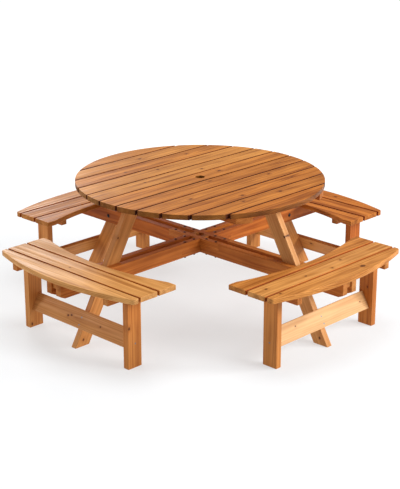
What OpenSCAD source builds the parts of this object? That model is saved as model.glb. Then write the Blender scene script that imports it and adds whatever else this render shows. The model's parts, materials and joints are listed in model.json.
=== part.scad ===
// Round eight-seat picnic table: a slatted disc on four raking legs, and four benches
// carried by a cross of doubled arms that is lapped and bolted at the middle.

/* [Table top] */
// Diameter of the round top
top_d = 1340; // [1140:10:1620]
// Height of the top's upper face above the ground
top_h = 712; // [590:1:860]
// Thickness of the top's slats
top_slat_t = 27; // [18:0.5:34]
// Gap between two slats of the top
top_gap = 8.5; // [4:0.5:14]
// Diameter of the parasol hole in the middle slat
top_hole_d = 52; // [40:1:60]
// Width of each batten under the slats
batten_w = 80; // [60:1:100]
// Thickness of each batten
batten_t = 30; // [22:1:36]
// Distance from the parasol hole to the middle of each batten
batten_off = 300; // [220:5:360]
// Height of the rails that join the leg tops to the slats
rail_h = 40; // [36:1:60]

/* [Arms and legs] */
// Thickness of every frame board, which is also the gap between paired boards
board_t = 35; // [28:1:42]
// Height of the arm boards
arm_h = 78; // [60:1:100]
// How far the arm boards run past the middle of the seats
arm_over = 170; // [120:5:185]
// Length of each lap of the arms on the boards at the centre
lap_len = 137; // [100:1:170]
// Diameter of the parasol hole through the centre of the arms
arm_hole_d = 50; // [38:1:54]
// Width of the leg boards
leg_w = 78; // [60:1:100]
// How far the foot's outer corner lies outside the middle of the seats
foot_out = 57; // [30:1:90]
// How far the leg top's outer corner lies inside the rim of the top
leg_inset = 141; // [110:1:200]

/* [Benches] */
// Distance from the top's rim out to the middle of each bench
bench_out = 194; // [110:1:370]
// Height of the seat's upper face above the ground
seat_h = 414; // [345:1:495]
// Length of the seat slats
seat_len = 1008; // [940:2:1240]
// Width of each of the three seat slats
seat_slat_w = 115; // [100:1:145]
// Thickness of the seat slats
seat_slat_t = 27; // [18:1:30]
// Gap between two seat slats
seat_gap = 9; // [4:0.5:14]
// Radius of the seat's bowed outer edge
seat_out_r = 1600; // [1200:10:2200]
// Radius of the seat's hollowed inner edge
seat_in_r = 1510; // [1200:5:1700]
// Depth of the hollow in the seat's inner edge
seat_hollow = 69; // [60:1:96]
// Clear width between the two posts of a bench
post_span = 726; // [620:2:860]
// Width of the posts, measured away from the table
post_w = 88; // [70:1:110]
// Length of the bearers under the seat slats
bearer_len = 268; // [220:1:300]
// Width of the board that joins a bench's posts and its leg
stretcher_w = 98; // [70:1:120]
// Thickness of that board
stretcher_t = 22; // [16:1:28]
// Height of the middle of that board above the ground
stretcher_z = 131; // [110:1:200]

/* [Fasteners] */
// Diameter of the bolts at the centre of the cross
cross_bolt_d = 8; // [6:1:10]
// Diameter of the bolts through the legs
leg_bolt_d = 10; // [8:1:12]
// Diameter of the wood screws
screw_d = 4.5; // [3.5:0.5:6]

/* [Hidden] */
eps = 1;                       // how far a cutter runs past the face it cuts
hole_play = 0.4;               // how much wider a bolt hole is than its bolt
pilot_play = 0.1;              // how much wider a pilot hole is than its screw
bite = 16;                     // depth of a screw in the last piece it joins
TOP_SLATS = 11;
SIDES = ["east", "north", "west", "south"];
SEAT_ROWS = ["inner", "middle", "outer"];
HANDS = ["left", "right"];
WOOD = "peru";
WOOD_TOP = "sandybrown";
STEEL = "dimgray";

// Table top
top_r = top_d / 2;
bench_r = top_r + bench_out;   // the table's axis to the middle of each bench
top_under = top_h - top_slat_t;
edge_trim = 5;                 // stock sawn off each outer slat where the circle touches it
top_slat_w = (top_d + 2 * edge_trim - (TOP_SLATS - 1) * top_gap) / TOP_SLATS;
top_pitch = top_slat_w + top_gap;
rail_under = top_under - rail_h;
rim_screw_in = 12;             // how far inside the rim the last screw of a batten stands
rail_screw_at = [0.5, 1.37];   // screws along the east-west rails, as shares of batten_off
batten_half = batten_t / 2;    // depth of the batten's half of each rail crossing

// Cross of arms
pair_in = board_t / 2;         // inner face of a paired board, from the arm's centre plane
pair_out = 1.5 * board_t;      // outer face of a paired board
pair_mid = board_t;
arm_top = seat_h - seat_slat_t;
arm_under = arm_top - arm_h;
arm_mid = arm_top - arm_h / 2;
arm_end = bench_r + arm_over;
lap_end = pair_out + lap_len;
nose_len = 28;                 // chamfer on the lower corner of each arm's end
nose_h = 13;
cross_bolt_at = [0.22, 0.73];  // the two bolts' places along each lap
cross_bolts = [for (at = cross_bolt_at) pair_out + at * lap_len];

// Legs
foot_r = bench_r + foot_out;
leg_top_r = top_r - leg_inset;
lean = atan((foot_r - leg_top_r) / top_under);
leg_run = leg_w / cos(lean);   // width of the leg along a level line
function leg_out(z) = foot_r - z * tan(lean);
function leg_mid(z) = leg_out(z) - leg_run / 2;
rail_bolt_at = 0.43;           // the rail bolt's height, as a share of the rail's
arm_bolt_off = 12;             // the arm bolt lies this far outside the leg's middle line
arm_bolt_r = leg_mid(arm_mid) + arm_bolt_off;
rail_bolt_z = rail_under + rail_bolt_at * rail_h;
rail_bolt_r = leg_mid(rail_bolt_z);
rail_over = 8;                 // how far the rails run past the legs
rail_end = leg_out(rail_under) + rail_over;

// Benches, in a bench's own frame: X away from the table, Y along the seat
seat_pitch = seat_slat_w + seat_gap;
seat_edge = seat_pitch + seat_slat_w / 2;      // half the depth of the seat
out_centre = bench_r + seat_edge - seat_out_r;
in_centre = bench_r - seat_edge + seat_hollow - seat_in_r;
tip_r = 12;                    // rounding of the seat's two outer corners
tip_ease = 0.3;                // that rounding's centre lies this far out, so its arc crosses both edges
corner_r = 4;                  // rounding of the other slat corners
post_in = post_span / 2;
post_out = post_in + board_t;
side_bearer_shift = 5;         // the side bearers lie this far outside the posts' middle
mid_bearer_back = 9;           // the middle bearer stops this far short of the arm's end
side_bearer_r = bench_r + side_bearer_shift;
mid_bearer_r = arm_end - mid_bearer_back - bearer_len / 2;
bearer_r = [side_bearer_r, mid_bearer_r, side_bearer_r];
bearer_y = [-post_in + board_t / 2, 0, post_in - board_t / 2];
bearer_under = arm_top - board_t;
post_screw_gap = 45;
bearer_screw_gap = 160;
stretcher_screw_gap = 40;
stretcher_screw_drop = 10;     // the stretcher's screws lie this far below its middle line

// Fastener heads and lengths
cross_head_d = 2 * cross_bolt_d;
leg_head_d = 2.2 * leg_bolt_d;
screw_head_d = 2 * screw_d;
pair_width = 2 * pair_out;

function side_angle(i) = 90 * i;
function screw_r(k, b) = k == 0 ? (bearer_r[b] - bearer_len / 2 + bench_r - seat_edge + seat_slat_w) / 2
    : k == 1 ? bench_r : (bearer_r[b] + bearer_len / 2 + bench_r + seat_edge - seat_slat_w) / 2;

// ---------------------------------------------------------------- fasteners

// Countersunk wood screw pointing along +Z, its head level with the face at z = 0
module wood_screw(length, play = 0) {
    head_h = (screw_head_d - screw_d) / 2;
    cylinder(d = screw_d + play, h = length, $fn = 24);
    cylinder(d1 = screw_head_d + play, d2 = screw_d + play, h = head_h, $fn = 24);
}

// Domed coach bolt through a stack of the given thickness, entering at z = 0 along +Z
module coach_bolt(d, head_d, stack) {
    tail = 1.35 * d;
    head_h = 0.45 * d;
    cylinder(d = d, h = stack + tail, $fn = 32);
    intersection() {
        translate([0, 0, -head_h]) cylinder(d = head_d, h = head_h, $fn = 48);
        translate([0, 0, head_d * 0.72 - head_h]) sphere(d = head_d * 1.44, $fn = 64);
    }
}

// Washer and hexagon nut on the far side of the stack
module nut(d, stack) {
    washer_t = 1.6;
    nut_h = 0.8 * d;
    translate([0, 0, stack]) difference() {
        union() {
            cylinder(d = 2.1 * d, h = washer_t, $fn = 48);
            translate([0, 0, washer_t]) cylinder(d = 1.85 * d, h = nut_h, $fn = 6);
        }
        translate([0, 0, -eps]) cylinder(d = d + pilot_play, h = washer_t + nut_h + 2 * eps, $fn = 32);
    }
}

// Places its children at each bolt of the cross, entering the top of the laps downwards
module at_cross_bolts() {
    for (i = [0:3], r = cross_bolts, y = [-pair_mid, pair_mid])
        rotate([0, 0, side_angle(i)]) translate([r, y, arm_top]) rotate([180, 0, 0]) children();
}

// Places its children at a bolt across one arm or rail pair, at radius r and height z
module at_pair_bolt(i, r, z) {
    flip = i < 2 ? 1 : -1;     // every head is on the west or the south face of its pair
    turn = i == 1 || i == 3 ? -1 : 1;
    rotate([0, 0, side_angle(i)]) translate([r, -flip * turn * pair_out, z])
        rotate([-flip * turn * 90, 0, 0]) children();
}

// Places its children at both leg bolts of one side
module at_leg_bolts(i) {
    at_pair_bolt(i, arm_bolt_r, arm_mid) children();
    at_pair_bolt(i, rail_bolt_r, rail_bolt_z) children();
}

module cross_bolt_holes() {
    at_cross_bolts() translate([0, 0, -eps])
        cylinder(d = cross_bolt_d + hole_play, h = arm_h + 2 * eps, $fn = 32);
}

module leg_bolt_holes(i) {
    at_leg_bolts(i) translate([0, 0, -eps])
        cylinder(d = leg_bolt_d + hole_play, h = pair_width + 2 * eps, $fn = 32);
}

// Screws that hold the slats of the top, driven upwards through battens and rails
module batten_screws(play = 0) {
    for (x = [-batten_off, batten_off], k = [-5:5]) {
        reach = sqrt(top_r * top_r - batten_off * batten_off) - batten_w / 4;
        y = sign(k) * min(abs(k) * top_pitch, reach - rim_screw_in);
        translate([x, y, top_under - batten_t]) wood_screw(batten_t + bite, play);
    }
}

module rail_screws(play = 0) {
    for (x = [-pair_mid, pair_mid], k = [-3, -2, -1, 1, 2, 3])
        translate([x, k * top_pitch, rail_under]) wood_screw(rail_h + bite, play);
    for (y = [-pair_mid, pair_mid], at = rail_screw_at, s = [-1, 1])
        translate([s * at * batten_off, y, rail_under]) wood_screw(rail_h + bite, play);
}

// Screws of one bench, in the bench's frame
module seat_screws(play = 0) {
    for (b = [0:2], k = [0:2])
        translate([screw_r(k, b), bearer_y[b], bearer_under]) wood_screw(board_t + bite, play);
}

module bearer_screws(play = 0) {
    for (s = [-1, 1], d = [-1, 1]) {
        translate([bench_r + d * post_screw_gap / 2, s * (post_in - board_t), arm_top - board_t / 2])
            rotate([-s * 90, 0, 0]) wood_screw(board_t + bite, play);
        translate([mid_bearer_r + d * bearer_screw_gap / 2, s * pair_out, arm_top - board_t / 2])
            rotate([s * 90, 0, 0]) wood_screw(board_t + 0.8 * bite, play);
    }
}

// Frame of the stretcher: X out of its outer face, Z up the slope, origin at its middle
module at_stretcher() {
    translate([leg_out(stretcher_z), 0, stretcher_z]) rotate([0, -lean, 0])
        translate([stretcher_t / 2, 0, 0]) children();
}

module stretcher_screws(play = 0) {
    at_stretcher() translate([0, 0, -stretcher_screw_drop]) {
        for (d = [-1, 1])
            translate([stretcher_t / 2, 0, d * stretcher_screw_gap / 2])
                rotate([0, -90, 0]) wood_screw(stretcher_t + 2 * bite, play);
        for (s = [-1, 1])
            translate([0, s * post_out, 0]) rotate([s * 90, 0, 0]) wood_screw(board_t + 2.5 * bite, play);
    }
}

// ---------------------------------------------------------------- table top

module table_slat(k) {
    row = k - (TOP_SLATS + 1) / 2;
    color(WOOD_TOP) difference() {
        intersection() {
            translate([0, 0, top_under]) cylinder(r = top_r, h = top_slat_t, $fn = 240);
            translate([-top_r - eps, row * top_pitch - top_slat_w / 2, top_under])
                cube([2 * (top_r + eps), top_slat_w, top_slat_t]);
        }
        translate([0, 0, top_under - eps]) cylinder(d = top_hole_d, h = top_slat_t + 2 * eps, $fn = 96);
        batten_screws(pilot_play);
        rail_screws(pilot_play);
    }
}

module batten(x) {
    color(WOOD) difference() {
        intersection() {
            translate([0, 0, top_under - batten_t]) cylinder(r = top_r, h = batten_t, $fn = 240);
            translate([x - batten_w / 2, -top_r, top_under - batten_t]) cube([batten_w, top_d, batten_t]);
        }
        for (y = [-pair_mid, pair_mid])
            translate([x - batten_w / 2 - eps, y - board_t / 2, top_under - batten_t - eps])
                cube([batten_w + 2 * eps, board_t, batten_t - batten_half + eps]);
        batten_screws(pilot_play);
    }
}

// Rails run across the top in two pairs that halve over each other; each pair grips two legs
module top_rail(i) {
    east_west = i == 1 || i == 3;      // the north and south rails run from east to west
    color(WOOD) difference() {
        rotate([0, 0, side_angle(i)]) translate([pair_in, -rail_end, rail_under])
            cube([board_t, 2 * rail_end, rail_h]);
        for (s = [-1, 1])
            rotate([0, 0, side_angle(i)])
                translate([pair_in - eps, s * pair_mid - board_t / 2, rail_under + (east_west ? rail_h / 2 : -eps)])
                    cube([board_t + 2 * eps, board_t, rail_h / 2 + eps]);
        if (east_west) for (x = [-batten_off, batten_off])
            translate([x - batten_w / 2, -pair_out - eps, top_under - batten_half])
                cube([batten_w, pair_width + 2 * eps, batten_half + eps]);
        translate([0, 0, rail_under - eps]) cylinder(d = top_hole_d, h = rail_h + 2 * eps, $fn = 96);
        for (j = [0:3]) leg_bolt_holes(j);
        rail_screws(pilot_play);
    }
}

// ---------------------------------------------------------------- cross of arms

// East and west arms keep the upper half of their laps, north and south arms the lower half
module arm(i) {
    upper = i == 0 || i == 2;
    step = upper ? [[lap_end, arm_under], [lap_end, arm_mid], [pair_out, arm_mid], [pair_out, arm_top]]
        : [[pair_out, arm_under], [pair_out, arm_mid], [lap_end, arm_mid], [lap_end, arm_top]];
    outline = concat(step, [[arm_end, arm_top], [arm_end, arm_under + nose_h], [arm_end - nose_len, arm_under]]);
    color(WOOD) difference() {
        rotate([0, 0, side_angle(i)]) for (y = [-pair_out, pair_in])
            translate([0, y + board_t, 0]) rotate([90, 0, 0]) linear_extrude(board_t) polygon(outline);
        cross_bolt_holes();
        leg_bolt_holes(i);
        rotate([0, 0, side_angle(i)]) bearer_screws(pilot_play);
    }
}

module parasol_bore() {
    translate([0, 0, arm_under - eps]) cylinder(d = arm_hole_d, h = arm_h + 2 * eps, $fn = 96);
}

// Pair of short boards across the centre, turned by the given angle, from height z up
module splice_pair(turn, z) {
    color(WOOD) difference() {
        rotate([0, 0, turn]) for (y = [-pair_out, pair_in])
            translate([-lap_end, y, z]) cube([2 * lap_end, board_t, arm_h / 2]);
        cross_bolt_holes();
        parasol_bore();
    }
}

// Short blocks that close the channel between each splice pair beside the parasol hole
module centre_blocks() {
    color(WOOD) difference() {
        for (side = [-pair_out, pair_in]) {
            translate([-pair_in, side, arm_mid]) cube([board_t, board_t, arm_h / 2]);
            translate([side, -pair_in, arm_under]) cube([board_t, board_t, arm_h / 2]);
        }
        parasol_bore();
    }
}

// ---------------------------------------------------------------- legs

module leg(i) {
    outline = [[foot_r - leg_run, 0], [foot_r, 0], [leg_top_r, top_under], [leg_top_r - leg_run, top_under]];
    color(WOOD) difference() {
        rotate([0, 0, side_angle(i)]) translate([0, pair_in, 0])
            rotate([90, 0, 0]) linear_extrude(board_t) polygon(outline);
        leg_bolt_holes(i);
        rotate([0, 0, side_angle(i)]) stretcher_screws(pilot_play);
    }
}

// ---------------------------------------------------------------- benches

// What a rounded corner takes off: a wedge from angle a to angle b, outside radius r
module corner_waste(centre, a, b, r) {
    reach = 3 * r;
    middle = (a + b) / 2;
    translate(centre) difference() {
        polygon([[0, 0], reach * [cos(a), sin(a)], 1.5 * reach * [cos(middle), sin(middle)],
                 reach * [cos(b), sin(b)]]);
        circle(r = r, $fn = 48);
    }
}

// Outline of seat slat k (0 is next to the table), with the bowed and the hollowed edges
module seat_outline(k) {
    x0 = bench_r + (k - 1) * seat_pitch - seat_slat_w / 2;
    x1 = x0 + seat_slat_w;
    half = seat_len / 2;
    tip_y = half - tip_r + tip_ease;
    tip_x = out_centre + sqrt(pow(seat_out_r - tip_r, 2) - tip_y * tip_y) + tip_ease;
    tip_a = asin(tip_y / (seat_out_r - tip_r));
    difference() {
        translate([x0, -half]) square([seat_slat_w, seat_len]);
        if (k == 0) translate([in_centre, 0]) circle(r = seat_in_r, $fn = 360);
        if (k == 2) difference() {
            translate([x0, -half - eps]) square([2 * seat_slat_w, seat_len + 2 * eps]);
            translate([out_centre, 0]) circle(r = seat_out_r, $fn = 480);
        }
        for (m = [0, 1]) mirror([0, m]) {
            corner_waste([x0 + corner_r, half - corner_r], 90, 180, corner_r);
            if (k < 2) corner_waste([x1 - corner_r, half - corner_r], 0, 90, corner_r);
            if (k == 2) corner_waste([tip_x, tip_y], tip_a - 25, 115, tip_r);
        }
    }
}

module seat_slat(i, k) {
    color(WOOD_TOP) rotate([0, 0, side_angle(i)]) difference() {
        translate([0, 0, arm_top]) linear_extrude(seat_slat_t) seat_outline(k);
        seat_screws(pilot_play);
    }
}

module post(i, s) {
    color(WOOD) rotate([0, 0, side_angle(i)]) difference() {
        translate([bench_r - post_w / 2, s > 0 ? post_in : -post_out, 0]) cube([post_w, board_t, arm_top]);
        bearer_screws(pilot_play);
        stretcher_screws(pilot_play);
    }
}

module seat_bearers(i) {
    color(WOOD) rotate([0, 0, side_angle(i)]) difference() {
        for (b = [0:2]) translate([bearer_r[b] - bearer_len / 2, bearer_y[b] - board_t / 2, bearer_under])
            cube([bearer_len, board_t, board_t]);
        seat_screws(pilot_play);
        bearer_screws(pilot_play);
    }
}

module stretcher(i) {
    color(WOOD) rotate([0, 0, side_angle(i)]) difference() {
        at_stretcher() cube([stretcher_t, post_span, stretcher_w], center = true);
        stretcher_screws(pilot_play);
    }
}

// ---------------------------------------------------------------- hardware groups

module cross_bolt_set() {
    color(STEEL) at_cross_bolts() coach_bolt(cross_bolt_d, cross_head_d, arm_h);
}

module leg_bolt_set() {
    color(STEEL) for (i = [0:3]) at_leg_bolts(i) coach_bolt(leg_bolt_d, leg_head_d, pair_width);
}

module nut_set() {
    color(STEEL) {
        at_cross_bolts() nut(cross_bolt_d, arm_h);
        for (i = [0:3]) at_leg_bolts(i) nut(leg_bolt_d, pair_width);
    }
}

module screw_set() {
    color(STEEL) {
        batten_screws();
        rail_screws();
        for (i = [0:3]) rotate([0, 0, side_angle(i)]) {
            seat_screws();
            bearer_screws();
            stretcher_screws();
        }
    }
}

for (k = [1:TOP_SLATS]) table_slat(k);
batten(-batten_off);  // batten_west
batten(batten_off);  // batten_east
for (i = [0:3]) {
    top_rail(i);
    arm(i);
    leg(i);
    for (k = [0:2]) seat_slat(i, k);
    for (h = [0:1]) post(i, 1 - 2 * h);
    seat_bearers(i);
    stretcher(i);
}
splice_pair(90, arm_mid);  // upper_splice_boards
splice_pair(0, arm_under);  // lower_splice_boards
centre_blocks();
cross_bolt_set();  // cross_bolts
leg_bolt_set();  // leg_bolts
nut_set();  // nuts_and_washers
screw_set();  // wood_screws
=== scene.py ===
import json
import math
import random

import bmesh
import bpy
from mathutils import Matrix, Vector


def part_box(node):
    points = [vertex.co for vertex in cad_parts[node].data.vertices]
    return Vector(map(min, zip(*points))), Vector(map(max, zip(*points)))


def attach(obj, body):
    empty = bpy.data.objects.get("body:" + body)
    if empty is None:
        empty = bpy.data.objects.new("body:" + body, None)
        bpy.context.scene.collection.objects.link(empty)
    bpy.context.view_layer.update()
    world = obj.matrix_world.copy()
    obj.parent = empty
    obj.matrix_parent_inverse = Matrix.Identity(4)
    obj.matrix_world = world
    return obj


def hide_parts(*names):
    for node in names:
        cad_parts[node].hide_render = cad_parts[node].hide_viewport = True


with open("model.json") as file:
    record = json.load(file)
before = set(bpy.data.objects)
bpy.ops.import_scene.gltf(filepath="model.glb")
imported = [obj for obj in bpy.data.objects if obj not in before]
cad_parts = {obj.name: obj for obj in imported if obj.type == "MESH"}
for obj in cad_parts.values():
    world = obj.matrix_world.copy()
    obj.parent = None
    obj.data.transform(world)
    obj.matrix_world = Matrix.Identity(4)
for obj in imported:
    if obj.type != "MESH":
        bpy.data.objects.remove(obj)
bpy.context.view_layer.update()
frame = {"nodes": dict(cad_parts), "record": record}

# ---------------------------------------------------------------- table top
# Eleven softwood slats, sawn to one circle after they were screwed to their battens and rails.
# They are stained golden brown, with eased edges; the sawn rim has soaked up more stain and is duller.
# A hole for a parasol is bored through the middle slat.

nodes = frame["nodes"]
slat_names = [f"table_slat_{k}" for k in range(1, 12)]
bored_slat = "table_slat_6"
slat_boxes = {name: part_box(name) for name in slat_names}
top_r = max(high.x for low, high in slat_boxes.values())
top_under, top_face = (corner.z for corner in slat_boxes[bored_slat])
parasol_r = frame["record"]["mounts"][0]["dims"]["r_mm"] / 1000
rim_rows = 49               # points along the rim at each end of a slat
top_ease = 0.0022           # how far the slats' edges are rounded
weld = 0.00002              # points nearer than this are one point


def add(tree, kind, links=None, **values):
    """One node; values go to its settings or its inputs, and links joins inputs to other sockets.

    An input is named in words, or as i1 for the input whose number is 1.
    """
    node = tree.nodes.new(kind)
    for key, value in values.items():
        name = key.replace("_", " ")
        if key in node.bl_rna.properties and key not in node.inputs:
            setattr(node, key, value)
        else:
            socket = node.inputs[int(key[1:])] if key[0] == "i" and key[1:].isdigit() else node.inputs[name]
            socket.default_value = value
    for key, source in (links or {}).items():
        tree.links.new(source, node.inputs[key])
    return node


def feed(tree, socket, value):
    """Links a node's output to an input, or sets the input to a plain value; None leaves it alone."""
    if isinstance(value, bpy.types.NodeSocket):
        tree.links.new(value, socket)
    elif value is not None:
        socket.default_value = value


def math_node(tree, operation, a, b=None, c=None):
    """A Math node, each operand a socket or a number; gives its output socket."""
    node = tree.nodes.new("ShaderNodeMath")
    node.operation = operation
    for k, value in enumerate((a, b, c)):
        feed(tree, node.inputs[k], value)
    return node.outputs[0]


def new_tree(name, inputs, seats=False):
    """A geometry node tree with float inputs, a material input and, if asked, an input for seats."""
    tree = bpy.data.node_groups.new(name, "GeometryNodeTree")
    if seats:
        tree.interface.new_socket("Seats", in_out="INPUT", socket_type="NodeSocketGeometry")
    for label in inputs:
        tree.interface.new_socket(label, in_out="INPUT", socket_type="NodeSocketFloat")
    tree.interface.new_socket("Material", in_out="INPUT", socket_type="NodeSocketMaterial")
    tree.interface.new_socket("Geometry", in_out="OUTPUT", socket_type="NodeSocketGeometry")
    return tree, tree.nodes.new("NodeGroupInput").outputs, tree.nodes.new("NodeGroupOutput").inputs


def strip_solid(tree, rows, thickness, base, place):
    """A closed board: a two-column grid, set to its outline by place(row, side), then given its thickness."""
    grid = add(tree, "GeometryNodeMeshGrid", Size_X=1.0, Size_Y=1.0, Vertices_X=2, Vertices_Y=rows)
    spot = add(tree, "ShaderNodeSeparateXYZ", {0: tree.nodes.new("GeometryNodeInputPosition").outputs[0]})
    side = math_node(tree, "MULTIPLY", spot.outputs[0], 2.0)
    x, y = place(spot.outputs[1], side)
    where = add(tree, "ShaderNodeCombineXYZ", {0: x, 1: y, 2: base})
    laid = add(tree, "GeometryNodeSetPosition", {0: grid.outputs[0], 2: where.outputs[0]})
    rise = add(tree, "ShaderNodeCombineXYZ", {2: thickness})
    block = add(tree, "GeometryNodeExtrudeMesh", {0: laid.outputs[0], 2: rise.outputs[0]}, Individual=False)
    under = add(tree, "GeometryNodeFlipFaces", {0: laid.outputs[0]})
    both = tree.nodes.new("GeometryNodeJoinGeometry")
    tree.links.new(block.outputs[0], both.inputs[0])
    tree.links.new(under.outputs[0], both.inputs[0])
    return add(tree, "GeometryNodeMergeByDistance", {0: both.outputs[0]}, Distance=weld).outputs[0]


slat_tree, given, result = new_tree("Round top slat", (
    "Radius", "First edge", "Last edge", "Thickness", "Underside", "Hole radius"))


def slat_outline(row, side):
    """Equal steps of angle round the rim, from one edge of the slat to the other."""
    edges = (given["First edge"], given["Last edge"])
    sines = [math_node(slat_tree, "DIVIDE", edge, given["Radius"]) for edge in edges]
    first, last = [math_node(slat_tree, "ARCSINE", sine) for sine in sines]
    share = math_node(slat_tree, "ADD", row, 0.5)
    angle = math_node(slat_tree, "MULTIPLY_ADD", math_node(slat_tree, "SUBTRACT", last, first), share, first)
    reach = math_node(slat_tree, "MULTIPLY", given["Radius"], math_node(slat_tree, "COSINE", angle))
    across = math_node(slat_tree, "MULTIPLY", given["Radius"], math_node(slat_tree, "SINE", angle))
    return math_node(slat_tree, "MULTIPLY", reach, side), across


slat_solid = strip_solid(slat_tree, rim_rows, given["Thickness"], given["Underside"], slat_outline)
through_both_faces = math_node(slat_tree, "MULTIPLY", given["Thickness"], 4.0)
bore = add(slat_tree, "GeometryNodeMeshCylinder",
           {"Radius": given["Hole radius"], "Depth": through_both_faces}, Vertices=64)
bore_place = add(slat_tree, "ShaderNodeCombineXYZ", {2: given["Underside"]})
bore = add(slat_tree, "GeometryNodeTransform", {0: bore.outputs[0], "Translation": bore_place.outputs[0]})
bored = add(slat_tree, "GeometryNodeMeshBoolean", {0: slat_solid, 1: bore.outputs[0]},
            operation="DIFFERENCE", solver="MANIFOLD")
has_hole = math_node(slat_tree, "GREATER_THAN", given["Hole radius"], 0.001)
chosen = add(slat_tree, "GeometryNodeSwitch", {0: has_hole, 1: slat_solid, 2: bored.outputs[0]},
             input_type="GEOMETRY")
real = add(slat_tree, "GeometryNodeRealizeInstances", {0: chosen.outputs[0]})
dressed = add(slat_tree, "GeometryNodeSetMaterial", {0: real.outputs[0], 2: given["Material"]})
slat_tree.links.new(dressed.outputs[0], result[0])


def grown(name, tree, material, start=None, **sizes):
    """The mesh that a geometry node tree makes from these sizes, as a new object without modifiers."""
    seed = bpy.data.objects.new(name + "_seed", start or bpy.data.meshes.new(name + "_seed"))
    bpy.context.scene.collection.objects.link(seed)
    modifier = seed.modifiers.new("grow", "NODES")
    modifier.node_group = tree
    for socket in tree.interface.items_tree:
        if socket.in_out == "INPUT" and socket.socket_type != "NodeSocketGeometry":
            key = socket.name.lower().replace(" ", "_")
            modifier[socket.identifier] = material if key == "material" else float(sizes[key])
    bpy.context.view_layer.update()
    ready = seed.evaluated_get(bpy.context.evaluated_depsgraph_get())
    mesh = bpy.data.meshes.new_from_object(ready)
    seed.modifiers.remove(modifier)
    bpy.data.objects.remove(seed)
    mesh.name = name
    mesh.materials.clear()
    mesh.materials.append(material)
    piece = bpy.data.objects.new(name, mesh)
    bpy.context.scene.collection.objects.link(piece)
    return piece


def loose_parts(bm):
    """The separate boards of a mesh, as lists of vertices."""
    seen, parts = set(), []
    for start in bm.verts:
        if start in seen:
            continue
        part, queue = [], [start]
        seen.add(start)
        while queue:
            vert = queue.pop()
            part.append(vert)
            for edge in vert.link_edges:
                other = edge.other_vert(vert)
                if other not in seen:
                    seen.add(other)
                    queue.append(other)
        parts.append(part)
    return parts


def part_middle(part):
    """The middle of the box round some vertices."""
    return [(max(v.co[k] for v in part) + min(v.co[k] for v in part)) / 2 for k in range(3)]


def board_frame(part, name, number):
    """Which way one board's grain runs, its middle, the heart of its tree and its luck with the stain."""
    forward = Vector((1.0, 0.9, 0.8))
    upward = Vector((0.3, 0.4, 1.0))
    edges = {edge for vert in part for edge in vert.link_edges}
    longest = max(edges, key=lambda edge: round(edge.calc_length(), 4))
    along = (longest.verts[1].co - longest.verts[0].co).normalized()
    if along.dot(forward) < 0:
        along = -along
    faces = {face for vert in part for face in vert.link_faces}
    flat = max(faces, key=lambda face: round(face.calc_area() * (1 - abs(face.normal.dot(along))), 7))
    through = (flat.normal - along * flat.normal.dot(along)).normalized()
    if through.dot(upward) < 0:
        through = -through
    axes = (along, through.cross(along), through)
    middle = [(max(v.co.dot(a) for v in part) + min(v.co.dot(a) for v in part)) / 2 for a in axes]
    draw = random.Random(f"{name} {number}")
    heart = Vector((draw.uniform(1, 40), draw.uniform(-0.03, 0.03),
                    draw.choice((-1, 1)) * draw.uniform(0.03, 0.09)))
    return axes, middle, heart, draw.uniform(-1, 1)


knot_numbers = (1, 2, 3, 4)
no_knot = (9.0, 9.0, 0.01)          # a place off every board
depth_spread = 0.06                 # how unevenly boards of one kind take the stain
flat_within = math.radians(0.4)     # faces that turn less than this are one face
sharp_over = math.radians(35)       # edges that turn more than this are eased


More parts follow.
